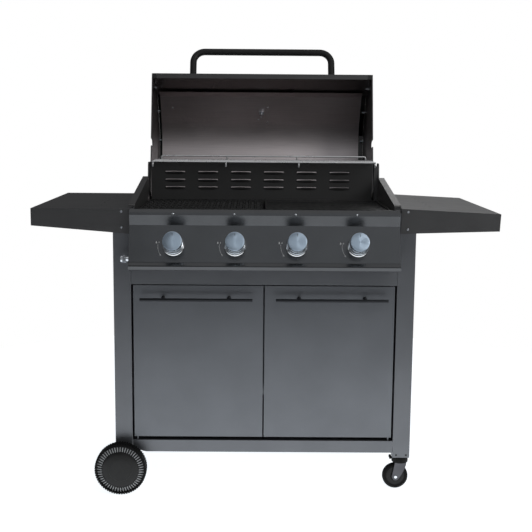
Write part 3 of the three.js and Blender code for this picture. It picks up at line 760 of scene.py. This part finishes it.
def make_louvres():
    """Lens-shaped hoods pressed out of the rear wall under its slots, open at their upper edge."""
    build = Build(M["firebox"])
    middle, pitch, half, wall, steps = -19.7, 105.4, 33, 400.4, 12
    for z in (858, 882, 907):
        for i in range(6):
            centre = middle + (i - 2.5) * pitch
            rows = []
            for k in range(steps + 1):
                t = -1 + 2 * k / steps
                rise = (1 - t * t) ** 0.5
                x = centre + half * t
                rows.append([
                    (x, wall, z - 3.6 - 2.6 * rise),
                    (x, wall - 2.6 * rise, z - 3.6 - 1.6 * rise),
                    (x, wall - 4.6 * rise, z - 2.6),
                    (x, wall - 5.6 * rise, z + 2.4 * rise),
                    (x, wall - 4.6 * rise, z + 2.4 * rise),
                    (x, wall - 3.4 * rise, z - 1.8),
                    (x, wall, z - 3.0),
                ])
            points = [p for row in rows for p in row]
            count = len(rows[0])
            faces = []
            for k in range(steps):
                for m in range(count):
                    n = (m + 1) % count
                    faces.append((count * k + m, count * k + n, count * (k + 1) + n, count * (k + 1) + m))
            build.add(points, faces)
    build.piece("vent_hoods", "frame")


def tapered_bar(build, a, b, top, depth, wide, narrow, along):
    """A cast bar between two points on a level, wider at its foot than at its rounded top."""
    half, thin = wide / 2, narrow / 2
    section = [(-half, -depth), (half, -depth), (half, -depth * 0.5), (thin, -1.2), (thin * 0.5, 0),
               (-thin * 0.5, 0), (-thin, -1.2), (-half, -depth * 0.5)]
    points = []
    for end in (a, b):
        for s, h in section:
            if along == "Y":
                points.append((end[0] + s, end[1], top + h))
            else:
                points.append((end[0], end[1] + s, top + h))
    build.bridge(points)


def make_grate():
    """A cast grid whose bars cross under low rounded studs."""
    left, right, front, back, top = -365, -3, 20, 382, 822
    build = Build(M["iron"])
    edge, deep = 5, 13.6
    for x in (left + edge, right - edge):
        tapered_bar(build, (x, front), (x, back), top - 0.4, deep, 10, 8, "Y")
    for y in (front + edge, back - edge):
        tapered_bar(build, (left, y), (right, y), top - 0.4, deep, 10, 8, "X")
    columns, rows = 20, 6
    across = [left + edge + (right - left - 2 * edge) * i / columns for i in range(1, columns)]
    along = [front + edge + (back - front - 2 * edge) * j / rows for j in range(1, rows)]
    for x in across:
        tapered_bar(build, (x, front + 4), (x, back - 4), top - 1.8, 11, 8, 5, "Y")
    for y in along:
        tapered_bar(build, (left + 4, y), (right - 4, y), top - 2.2, 10, 8, 5, "X")
    stud = [(0, -4), (5.6, -4), (5.2, -1.4), (3.8, -0.3), (0, 0)]
    for x in across:
        for y in along:
            build.lathe(stud, 10, Matrix.Translation((x, y, top)))
    build.piece("grate_casting", "grate", replaces=["cooking_grate"])


def make_rack_wires():
    """Wires along the warming rack over four cross wires with hooked fronts, and a guard at the back."""
    z, front, back, half, r = 942, 300, 430, 347.5, 2.5
    build = Build(M["wire"])
    inner_cross = (-118, 108)
    for y in (front, front + 26, front + 52, front + 78, front + 104, back):
        build.tube([(-half, y, z + r), (half, y, z + r)], r, 14)
    for x in (-half + r, *inner_cross, half - r):
        bend = [(x, front - 2 - 4 * math.sin(math.radians(a)) + 4, z - 4 + 4 * math.cos(math.radians(a)))
                for a in range(90, -1, -15)]
        build.tube([(x, front - 2, z - 12)] + bend + [(x, back + 3, z)], r, 14)
    guard, low, high, turn = 330, z + 3, z + 16, 6
    left = [(-guard + turn - y, back, high - turn + h) for y, h in arc(0, 0, turn, 0, 90, 5)]
    right = [(-x, y, h) for x, y, h in reversed(left)]
    build.tube([(-guard, back, low)] + left + right + [(guard, back, low)], r, 14)
    for x in inner_cross:
        build.tube([(x, back, low), (x, back, high)], r * 0.9, 12)
    build.piece("rack_wires", "rack", replaces=["warming_rack"])


def make_pivot_shields():
    """Thin returns on the firebox sides that close the view past the lid's end caps, clear of the pins."""
    build = Build(M["firebox"])
    thick, front, back = 1.2, 405.9, 450
    notch_low, notch_high, notch_back = 838, 852, 419
    for x in (-367.6, 356.2):
        for low, high in ((813, notch_low), (notch_high, 938)):
            build.box((x, front, low), (x + thick, back, high))
        build.box((x, notch_back, notch_low), (x + thick, back, notch_high))
    build.piece("pivot_shields", "frame")


def make_gas_inlet():
    """A nut and a stretch of thread at the left end of the gas pipe."""
    build = Build(M["bright"])
    inlet = (-404.5, -28, 686)
    along = local_at(inlet, (1, 0, 0))
    nut = [(7.2, 0.5), (9.4, 0.5), (9.8, 1), (9.8, 6), (9.4, 6.5), (7.2, 6.5)]
    build.lathe(nut, 32, along, closed=True)
    pitch = 1.5
    for i in range(5):
        start = 7.4 + i * pitch
        build.lathe([(7.1, start), (7.9, start + 0.7), (7.1, start + 1.4)], 32, along, closed=True)
    build.piece("gas_inlet_thread", "frame")


# ---- wheels and casters ----

def make_wheels():
    """A domed cap in a ring of grey ribs, a lugged tyre, and spokes on the inner side."""
    ribs, spokes, lugs = 52, 8, 64
    # A rib's corners: radius, height and half its width there.
    rib_corners = ((53.9, 10, 0.9), (53.9, 17.6, 0.9), (67.6, 12.4, 1.1), (67.6, 10, 1.1))
    # The three rows of lugs across the tread: low, high, share of a step behind, and outer radius.
    lug_rows = ((-16.5, -7.5, 0.5, 74.4), (-5.5, 5.5, 0.0, 74.9), (7.5, 16.5, 0.5, 74.4))
    tyre = [(68.2, 17.6), (69.4, 18.8), (71, 18.6), (73, 15.4), (73.9, 11.5), (74, 6),
            (74, -6), (73.9, -11.5), (73, -15.4), (71, -18.6), (69.4, -18.8), (68.2, -17.6),
            (67.8, -11.5), (67.8, 11.5)]
    dome = [(0, 20.9), (16, 20.8), (30, 19.9), (33, 19.6), (33.4, 19.1), (44, 17.8), (51, 16.2),
            (53, 15.2), (53.6, 13.6), (53.8, 10.2), (67.9, 10.2), (67.9, -11), (64, -11), (20, -11),
            (19, -12), (18, -19.6), (17.4, -20), (6, -20), (5.4, -19.4), (5.4, 13.5), (0, 13.5)]
    for where, y, facing in WHEELS:
        spot = front_place(WHEEL_X, y, WHEEL_RADIUS, facing)
        build = Build(M["hub"], M["rubber"], M["ribs"])
        build.lathe(dome, 96, spot)
        build.lathe(tyre, 96, spot, 1, closed=True)
        for i in range(ribs):
            rib = spot @ Matrix.Rotation(2 * math.pi * i / ribs, 4, "Z")
            points = [rib @ Vector((r, side * half, h)) for side in (-1, 1) for r, h, half in rib_corners]
            build.bridge(points, 2)
        for i in range(spokes):
            spoke = spot @ Matrix.Rotation(2 * math.pi * i / spokes, 4, "Z")
            build.prism([(18.5, -1.4), (66.5, -1.4), (66.5, 1.4), (18.5, 1.4)], -17, -10.8, spoke)
        for i in range(lugs):
            for low, high, lag, reach in lug_rows:
                lug = spot @ Matrix.Rotation(2 * math.pi * (i + lag) / lugs, 4, "Z")
                build.prism([(72, -2.3), (reach, -2.0), (reach, 2.0), (72, 2.3)], low, high, lug, 1)
        build.piece(f"wheel_{where}_moulding", f"wheel_{where}", replaces=[f"wheel_{where}"])


def make_casters():
    """A forked yoke under a round housing, a roll with a rubber tread, and a brake pedal behind."""
    cheek = [(-14, 84), (18, 84), (17.4, 76), (14, 64), (4, 44), (-3.4, 33), (-7, 28.8), (-11, 27),
             (-15, 27), (-19, 29), (-22, 33), (-23, 38), (-22.4, 46), (-20, 58), (-17, 74)]
    tread = [(27, 8), (28, 11.6), (31, 11.8), (34.6, 10.4), (36.8, 7.6), (CASTER_RADIUS, 4),
             (CASTER_RADIUS, -4), (36.8, -7.6), (34.6, -10.4), (31, -11.8), (28, -11.6), (27, -8)]
    web = [(4.6, 11.8), (11.4, 11.8), (12, 11.2), (14, 8.6), (25.4, 8.6), (26.2, 9.4), (27.4, 9.4),
           (27.4, -9.4), (26.2, -9.4), (25.4, -8.6), (14, -8.6), (12, -11.2), (11.4, -11.8), (4.6, -11.8)]
    housing = [(0, 80.5), (22.6, 80.5), (23.7, 81.6), (24, 83), (24, 95.4), (23.4, 96.9), (22, 97.6),
               (0, 97.6)]
    stem = [(0, 96), (4.7, 96), (4.7, 111.4), (4.2, 112), (0, 112)]
    bolt = [(0, -19), (4, -19), (4.6, -18.4), (4.6, -17), (4, -17), (4, 17), (4.6, 17), (4.6, 18.2),
            (3.8, 18.9), (2, 19), (0, 19)]
    plate_top = 97.2
    plate = [(-31.5, 90.4), (-25, 92), (-25, plate_top), (-30, plate_top), (-31.5, 95.8)]
    for where, y in CASTERS:
        swivel = Matrix.Translation((CASTER_X, y, 0))
        yoke = Build(M["dull_zinc"], M["rubber"], M["bright"])
        yoke.lathe(housing, 64, swivel, 1)
        yoke.lathe(stem, 24, swivel)
        across = front_place(CASTER_X, y, 0)
        for low, high in ((14, 17), (-17, -14)):
            yoke.prism(cheek, low, high, across)
        axle = front_place(CASTER_X - CASTER_TRAIL, y, CASTER_RADIUS)
        yoke.lathe(bolt, 32, axle, 2)
        yoke.piece(f"caster_yoke_{where}", f"caster_{where}", bevel=0.4,
                   replaces=[f"caster_fork_{where}"])
        roll = Build(M["hub"], M["rubber"])
        roll.lathe(web, 64, axle, 0, closed=True)
        roll.lathe(tread, 72, axle, 1, closed=True)
        roll.piece(f"caster_roll_{where}", f"caster_wheel_{where}", replaces=[f"caster_wheel_{where}"])
        pedal = Build(M["rubber"])
        pedal.prism(plate, -12, 12, across)
        for k in range(3):
            rise = across @ Matrix.Translation((-29.2 + k * 1.6, plate_top, 0))
            pedal.box((-0.3, -0.3, -10), (0.3, 0.3, 10), rise)
        pedal.piece(f"caster_pedal_{where}", f"caster_brake_{where}", bevel=0.8,
                    replaces=[f"caster_brake_{where}"])


refine_cart()
make_controls()
make_screws()
make_door_handles()
make_lid_grip()
make_thermometer()
make_lid_screws()
make_lining()
make_louvres()
make_grate()
make_rack_wires()
make_pivot_shields()
make_gas_inlet()
make_wheels()
make_casters()
make_camera()
make_stage()
